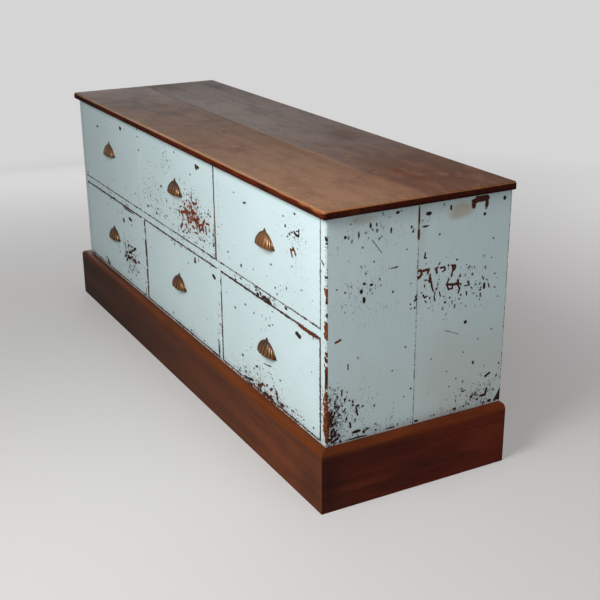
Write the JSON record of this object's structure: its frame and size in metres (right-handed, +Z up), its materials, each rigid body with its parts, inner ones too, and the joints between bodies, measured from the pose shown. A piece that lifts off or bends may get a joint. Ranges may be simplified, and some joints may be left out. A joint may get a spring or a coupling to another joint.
{
  "type": "chest of drawers",
  "caption": "Low wide chest with two rows of inset drawers in a painted case, a plain wooden top and a moulded plinth; each drawer slides out on wooden runners by a fluted shell cup pull.",
  "frame": {"origin": "on the floor, in the middle of the outline of the plinth", "axes": "+X along the front to the right as the user faces the drawers, +Y from the front to the back, +Z up"},
  "size_m": [1.69, 0.51, 0.701],
  "materials": {
    "painted_wood": "old pale blue paint, chipped and worn at the arrises, over dark red-brown wood",
    "mahogany": "waxed mahogany, faded on the top",
    "inner_pine": "bare aged pine",
    "aged_brass": "browned brass, rubbed bright on the flutes",
    "steel_screws": "dull old steel"
  },
  "bodies": {
    "carcass": {"right_end_front_board": "painted_wood", "right_end_back_board": "painted_wood", "left_end_front_board": "painted_wood", "left_end_back_board": "painted_wood", "middle_rail": "painted_wood", "bottom_board": "painted_wood", "left_partition": "painted_wood", "right_partition": "painted_wood", "back_boards": "inner_pine", "upper_drawer_runners": "inner_pine", "drawer_stops": "inner_pine", "top_battens": "inner_pine", "top_screws": "steel_screws", "top_front_board": "mahogany", "top_back_board": "mahogany", "plinth_front": "mahogany", "plinth_right": "mahogany", "plinth_left": "mahogany"},
    "upper_left_drawer": {"upper_left_drawer_front": "painted_wood", "upper_left_drawer_left_side": "inner_pine", "upper_left_drawer_right_side": "inner_pine", "upper_left_drawer_back": "inner_pine", "upper_left_drawer_bottom": "inner_pine", "upper_left_pull": "aged_brass", "upper_left_pull_pins": "aged_brass"},
    "upper_middle_drawer": {"upper_middle_drawer_front": "painted_wood", "upper_middle_drawer_left_side": "inner_pine", "upper_middle_drawer_right_side": "inner_pine", "upper_middle_drawer_back": "inner_pine", "upper_middle_drawer_bottom": "inner_pine", "upper_middle_pull": "aged_brass", "upper_middle_pull_pins": "aged_brass"},
    "upper_right_drawer": {"upper_right_drawer_front": "painted_wood", "upper_right_drawer_left_side": "inner_pine", "upper_right_drawer_right_side": "inner_pine", "upper_right_drawer_back": "inner_pine", "upper_right_drawer_bottom": "inner_pine", "upper_right_pull": "aged_brass", "upper_right_pull_pins": "aged_brass"},
    "lower_left_drawer": {"lower_left_drawer_front": "painted_wood", "lower_left_drawer_left_side": "inner_pine", "lower_left_drawer_right_side": "inner_pine", "lower_left_drawer_back": "inner_pine", "lower_left_drawer_bottom": "inner_pine", "lower_left_pull": "aged_brass", "lower_left_pull_pins": "aged_brass"},
    "lower_middle_drawer": {"lower_middle_drawer_front": "painted_wood", "lower_middle_drawer_left_side": "inner_pine", "lower_middle_drawer_right_side": "inner_pine", "lower_middle_drawer_back": "inner_pine", "lower_middle_drawer_bottom": "inner_pine", "lower_middle_pull": "aged_brass", "lower_middle_pull_pins": "aged_brass"},
    "lower_right_drawer": {"lower_right_drawer_front": "painted_wood", "lower_right_drawer_left_side": "inner_pine", "lower_right_drawer_right_side": "inner_pine", "lower_right_drawer_back": "inner_pine", "lower_right_drawer_bottom": "inner_pine", "lower_right_pull": "aged_brass", "lower_right_pull_pins": "aged_brass"}
  },
  "joints": [
    {"name": "upper_left_drawer_slide", "type": "slide", "parent": "carcass", "child": "upper_left_drawer", "axis": [0, -1, 0], "range_m": [0, 0.34]},
    {"name": "upper_middle_drawer_slide", "type": "slide", "parent": "carcass", "child": "upper_middle_drawer", "axis": [0, -1, 0], "range_m": [0, 0.34]},
    {"name": "upper_right_drawer_slide", "type": "slide", "parent": "carcass", "child": "upper_right_drawer", "axis": [0, -1, 0], "range_m": [0, 0.34]},
    {"name": "lower_left_drawer_slide", "type": "slide", "parent": "carcass", "child": "lower_left_drawer", "axis": [0, -1, 0], "range_m": [0, 0.34]},
    {"name": "lower_middle_drawer_slide", "type": "slide", "parent": "carcass", "child": "lower_middle_drawer", "axis": [0, -1, 0], "range_m": [0, 0.34]},
    {"name": "lower_right_drawer_slide", "type": "slide", "parent": "carcass", "child": "lower_right_drawer", "axis": [0, -1, 0], "range_m": [0, 0.34]}
  ]
}
